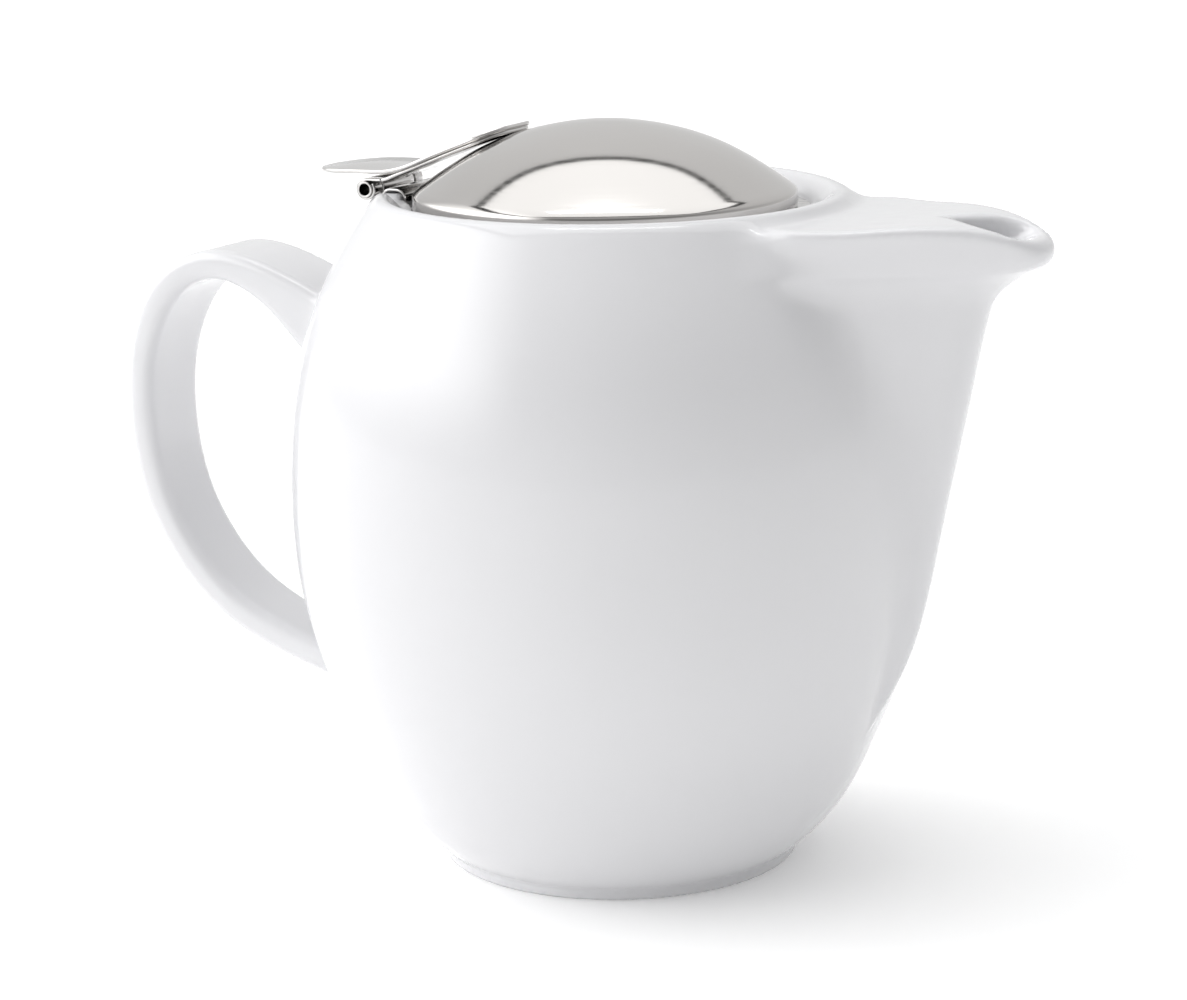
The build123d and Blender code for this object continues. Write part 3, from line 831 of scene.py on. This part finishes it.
def drilled_disc(name, radius, z, thickness, holes, hole_radius):
    """A disc with round holes, filled in by triangulating its outlines."""
    corners, edges = [], []

    def ring_of(cx, cy, r, count):
        first = len(corners)
        for k in range(count):
            angle = 2 * math.pi * k / count
            corners.append(Vector((cx + r * math.cos(angle), cy + r * math.sin(angle))))
            edges.append((first + k, first + (k + 1) % count))

    ring_of(0, 0, radius, 120)
    for x, y in holes:
        ring_of(x, y, hole_radius, 10)
    found, _, triangles, *_ = delaunay_2d_cdt(corners, edges, [], 0, 1e-6)
    work = bmesh.new()
    verts = [work.verts.new((p.x * MM, p.y * MM, z * MM)) for p in found]
    for triangle in triangles:
        middle = sum((found[i] for i in triangle), Vector((0, 0))) / 3
        in_hole = any(math.hypot(middle.x - x, middle.y - y) < hole_radius * 0.93 for x, y in holes)
        if not in_hole and middle.length < radius:
            work.faces.new([verts[i] for i in triangle])
    grown = bmesh.ops.extrude_face_region(work, geom=list(work.faces))
    moved = [item for item in grown["geom"] if isinstance(item, bmesh.types.BMVert)]
    bmesh.ops.translate(work, verts=moved, vec=(0, 0, thickness * MM))
    bmesh.ops.recalc_face_normals(work, faces=work.faces)
    mesh = bpy.data.meshes.new(name)
    work.to_mesh(mesh)
    work.free()
    disc = bpy.data.objects.new(name, mesh)
    bpy.context.scene.collection.objects.link(disc)
    return disc


# ---------------------------------------------------------------- build

glaze = porcelain_material()
satin = steel_material(
    "lid_satin_steel", 0.09, 0.12, (0.54, 0.525, 0.51), centre=LID_X, line_scale=1400, bump=0.03
)
polished = steel_material(
    "hinge_polished_steel", 0.10, 0.17, (0.64, 0.63, 0.62), line_scale=1600, bump=0.04
)
sheet_steel = steel_material(
    "infuser_sheet_steel", 0.18, 0.28, (0.55, 0.54, 0.53), line_scale=1100, bump=0.05
)

finish_piece(make_pot(0.8), glaze, "pot", "porcelain", "pot_body", "pot_handle")
finish_piece(make_lid(), satin, "lid", "lid_steel", "lid_dome")
finish_piece(make_lever(), polished, "lid", "hinge_steel", "thumb_lever")
finish_piece(make_leaf(), polished, "lid", "hinge_steel", "hinge_leaf")
finish_piece(make_clip(), polished, "lid_clip", "hinge_steel", "rim_clip")
finish_piece(make_pin(), polished, "lid_clip", "hinge_steel", "hinge_pin")
finish_piece(make_flange(), sheet_steel, "infuser", "infuser_steel", "infuser_flange")
finish_piece(make_basket_wall(), sheet_steel, "infuser", "infuser_steel", "infuser_wall")
finish_piece(make_basket_floor(), sheet_steel, "infuser", "infuser_steel", "infuser_floor")


# ---------------------------------------------------------------- camera, floor and light

CAMERA_AZIMUTH = 27.0
CAMERA_DISTANCE = 0.52047
CAMERA_HEIGHT = 0.17817
CAMERA_PITCH = 0.22941
CAMERA_YAW = -0.00664
CAMERA_ROLL = 0.01701
CAMERA_LENS = 102.8


def studio_axes():
    """To the right, away from the camera, and up."""
    azimuth = math.radians(CAMERA_AZIMUTH)
    right = Vector((math.cos(azimuth), math.sin(azimuth), 0))
    away = Vector((-math.sin(azimuth), math.cos(azimuth), 0))
    return right, away, Vector((0, 0, 1))


def make_camera():
    """The camera looks across the handle side to the spout, from a little above the rim."""
    right, forward, up = studio_axes()
    sideways = math.cos(CAMERA_YAW) * right - math.sin(CAMERA_YAW) * forward
    level = math.sin(CAMERA_YAW) * right + math.cos(CAMERA_YAW) * forward
    ahead = math.cos(CAMERA_PITCH) * level - math.sin(CAMERA_PITCH) * up
    above = math.sin(CAMERA_PITCH) * level + math.cos(CAMERA_PITCH) * up
    x_axis = math.cos(CAMERA_ROLL) * sideways - math.sin(CAMERA_ROLL) * above
    y_axis = math.sin(CAMERA_ROLL) * sideways + math.cos(CAMERA_ROLL) * above
    data = bpy.data.cameras.new("camera")
    data.lens = CAMERA_LENS
    data.sensor_width = 36
    data.clip_start = 0.01
    camera = bpy.data.objects.new("camera", data)
    turn = Matrix((x_axis, y_axis, -ahead)).transposed().to_4x4()
    place = -forward * CAMERA_DISTANCE + up * CAMERA_HEIGHT
    camera.matrix_world = Matrix.Translation(place) @ turn
    bpy.context.scene.collection.objects.link(camera)
    bpy.context.scene.camera = camera


SOFTBOX_WIDTH = 1.36
SOFTBOX_DEPTH = 0.90
SOFTBOX_PLACE = (0.05, 0.20, 1.10)
SOFTBOX_FRAME = 0.09


def make_softbox(power):
    """A wide soft light level above the pot, in a black frame; its place is given as right, away and up."""
    right, away, up = studio_axes()
    middle = right * SOFTBOX_PLACE[0] + away * SOFTBOX_PLACE[1] + up * SOFTBOX_PLACE[2]
    place = Matrix.Translation(middle) @ Matrix((right, away, up)).transposed().to_4x4()
    data = bpy.data.lights.new("softbox", "AREA")
    data.shape = "RECTANGLE"
    data.size, data.size_y = SOFTBOX_WIDTH, SOFTBOX_DEPTH
    data.energy = power
    light = bpy.data.objects.new("softbox", data)
    light.matrix_world = place
    bpy.context.scene.collection.objects.link(light)

    corners = []
    for grow in (0, SOFTBOX_FRAME):
        half_width, half_depth = SOFTBOX_WIDTH / 2 + grow, SOFTBOX_DEPTH / 2 + grow
        corners += [(i * half_width, j * half_depth, 0) for i, j in ((-1, -1), (1, -1), (1, 1), (-1, 1))]
    mesh = bpy.data.meshes.new("softbox_frame")
    mesh.from_pydata(corners, [], [(k, (k + 1) % 4, 4 + (k + 1) % 4, 4 + k) for k in range(4)])
    border = bpy.data.objects.new("softbox_frame", mesh)
    border.matrix_world = place
    bpy.context.scene.collection.objects.link(border)
    material, tree, shader = new_material("softbox_cloth")
    weave = add_noise(tree, 300, 2)
    add_colour(tree, shader, weave.outputs["Fac"], (0.02, 0.02, 0.02), (0.03, 0.03, 0.03))
    shader.inputs["Roughness"].default_value = 0.9
    mesh.materials.append(material)


def make_tube(power):
    """The bright tube inside the soft light, which makes narrow highlights on the glaze and the lid."""
    right, away, up = studio_axes()
    data = bpy.data.lights.new("tube", "AREA")
    data.shape = "RECTANGLE"
    data.size, data.size_y = 0.55, 0.07
    data.energy = power
    light = bpy.data.objects.new("tube", data)
    middle = away * 0.12 + up * (SOFTBOX_PLACE[2] - 0.02)
    light.matrix_world = Matrix.Translation(middle) @ Matrix((right, away, up)).transposed().to_4x4()
    bpy.context.scene.collection.objects.link(light)


def make_floor():
    """A pale floor that runs into the white background."""
    mesh = bpy.data.meshes.new("floor")
    half = 4.0
    corners = [(-half, -half, 0), (half, -half, 0), (half, half, 0), (-half, half, 0)]
    mesh.from_pydata(corners, [], [(0, 1, 2, 3)])
    floor = bpy.data.objects.new("floor", mesh)
    bpy.context.scene.collection.objects.link(floor)
    material, tree, shader = new_material("floor_paper")
    fibre = add_noise(tree, 400, 2)
    add_colour(tree, shader, fibre.outputs["Fac"], (0.92, 0.92, 0.92), (0.94, 0.94, 0.94))
    shader.inputs["Roughness"].default_value = 0.9
    shader.inputs["Emission Color"].default_value = (1, 1, 1, 1)
    shader.inputs["Emission Strength"].default_value = 0.15
    mesh.materials.append(material)


def add_lean(tree, direction):
    """How far a direction of the room leans towards the given one, as an output."""
    place = tree.nodes.new("ShaderNodeTexCoord")
    lean = tree.nodes.new("ShaderNodeVectorMath")
    lean.operation = "DOT_PRODUCT"
    lean.inputs[1].default_value = direction
    tree.links.new(place.outputs["Generated"], lean.inputs[0])
    return lean.outputs["Value"]


def make_world():
    """A pale room: a little brighter overhead and behind the pot, and far brighter on the handle's side."""
    world = bpy.data.worlds.new("studio")
    world.use_nodes = True
    tree = world.node_tree
    right, away, up = studio_axes()
    room = tree.nodes.new("ShaderNodeMath")
    room.operation = "ADD"
    room.inputs[1].default_value = 0.36
    tree.links.new(add_lean(tree, away * 0.36 + up * 0.48), room.inputs[0])
    side = tree.nodes.new("ShaderNodeMapRange")
    side.interpolation_type = "SMOOTHSTEP"
    side.inputs["From Min"].default_value = 0.55
    side.inputs["From Max"].default_value = 1.0
    side.inputs["To Max"].default_value = 3.8
    tree.links.new(add_lean(tree, up * 0.2 - right * 0.98), side.inputs["Value"])
    total = tree.nodes.new("ShaderNodeMath")
    total.operation = "ADD"
    tree.links.new(room.outputs["Value"], total.inputs[0])
    tree.links.new(side.outputs["Result"], total.inputs[1])
    above = tree.nodes.new("ShaderNodeMapRange")
    above.interpolation_type = "SMOOTHSTEP"
    above.inputs["From Max"].default_value = 0.4
    tree.links.new(add_lean(tree, up), above.inputs["Value"])
    horizon = tree.nodes.new("ShaderNodeMix")
    horizon.inputs["A"].default_value = 0.8
    tree.links.new(above.outputs["Result"], horizon.inputs["Factor"])
    tree.links.new(total.outputs["Value"], horizon.inputs["B"])
    tree.nodes["Background"].inputs["Color"].default_value = (1, 1, 1, 1)
    tree.links.new(horizon.outputs["Result"], tree.nodes["Background"].inputs["Strength"])
    bpy.context.scene.world = world
    bpy.context.scene.view_settings.view_transform = "Standard"


make_camera()
make_floor()
make_world()
make_softbox(3.1)
make_tube(0.8)
